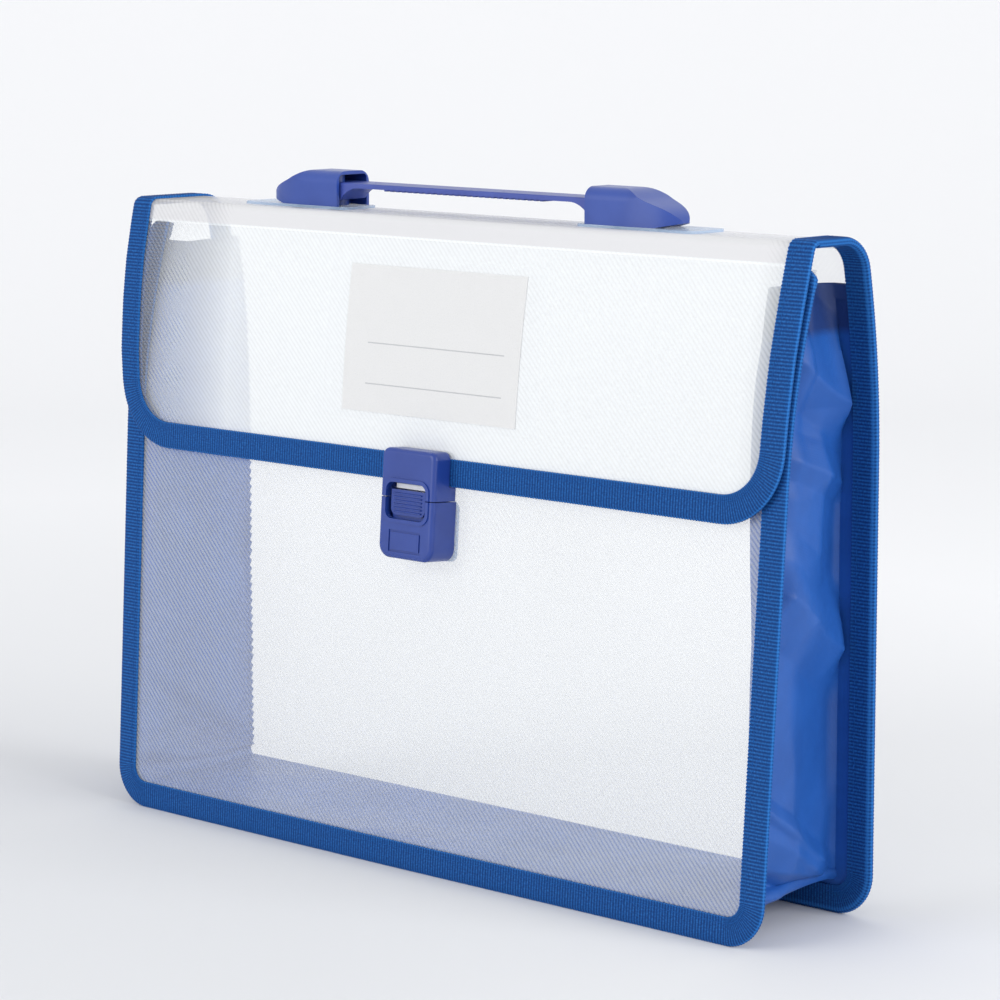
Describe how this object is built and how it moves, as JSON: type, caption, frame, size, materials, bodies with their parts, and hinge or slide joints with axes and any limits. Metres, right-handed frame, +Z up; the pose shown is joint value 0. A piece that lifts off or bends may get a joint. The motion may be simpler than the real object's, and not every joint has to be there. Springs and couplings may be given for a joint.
{
  "type": "document case",
  "caption": "Upright document case of frosted sheet with taped edges, a cloth gusset, a fold-over flap with a press lock, a label pocket and a low carrying handle.",
  "frame": {"origin": "on the floor, under the middle of the closed case and its lock", "axes": "+X along the width, -Y out of the front with the flap and lock, +Z up"},
  "size_m": [0.33, 0.0656, 0.2523],
  "materials": {
    "frosted_sheet": "frosted translucent sheet with fine diagonal ribs",
    "edge_tape": "woven ribbed tape",
    "coated_cloth": "smooth coated cloth with soft creases",
    "blue_plastic": "moulded, satin gloss",
    "blue_strap": "moulded, flexible, satin",
    "clear_plate": "clear moulded plate",
    "milky_plate": "milky moulded plate",
    "clear_film": "thin clear film, welded edges",
    "label_card": "uncoated card with two ruled lines",
    "rivet": "plain flush rivet",
    "spring": "bright strip"
  },
  "bodies": {
    "case": {"back_panel": "frosted_sheet", "back_binding": "edge_tape", "gusset": "coated_cloth"},
    "band": {"top_band": "frosted_sheet", "top_binding_left": "edge_tape", "top_binding_right": "edge_tape", "handle_base_left": "clear_plate", "handle_base_right": "clear_plate", "handle_mount_left": "blue_plastic", "handle_mount_right": "blue_plastic", "handle_rivets": "rivet"},
    "strap": {"handle_strap": "blue_strap"},
    "lid": {"flap": "frosted_sheet", "flap_binding": "edge_tape", "label_card": "label_card", "label_pocket": "clear_film", "latch_hasp": "blue_plastic", "hasp_backplate": "milky_plate", "hasp_rivets": "rivet"},
    "front": {"front_panel": "frosted_sheet", "front_binding": "edge_tape", "latch_body": "blue_plastic", "latch_backplate": "clear_plate", "latch_rivets": "rivet", "latch_spring": "spring"},
    "button": {"latch_button": "blue_plastic"}
  },
  "joints": [
    {"name": "band_hinge", "type": "hinge", "parent": "case", "child": "band", "pos_m": [0, 0.02164, 0.23585], "axis": [-1, 0, 0], "range_deg": [0, 110]},
    {"name": "flap_hinge", "type": "hinge", "parent": "band", "child": "lid", "pos_m": [0, -0.01093, 0.23811], "axis": [-1, 0, 0], "range_deg": [0, 165]},
    {"name": "front_hinge", "type": "hinge", "parent": "case", "child": "front", "pos_m": [0, -0.03015, 0], "axis": [1, 0, 0], "range_deg": [0, 6.5]},
    {"name": "strap_lift", "type": "slide", "parent": "band", "child": "strap", "axis": [0, 0, 1], "range_m": [0, 0.0024]},
    {"name": "latch_press", "type": "slide", "parent": "front", "child": "button", "axis": [0, 0.9973, -0.0732], "range_m": [0, 0.0022], "stiffness_N_per_m": 600, "springref_m": -0.001, "deforming": ["latch_spring"]}
  ],
  "couplings": [
    {"joint": "front_hinge", "follows": "flap_hinge", "ratio": 0.039394}
  ]
}
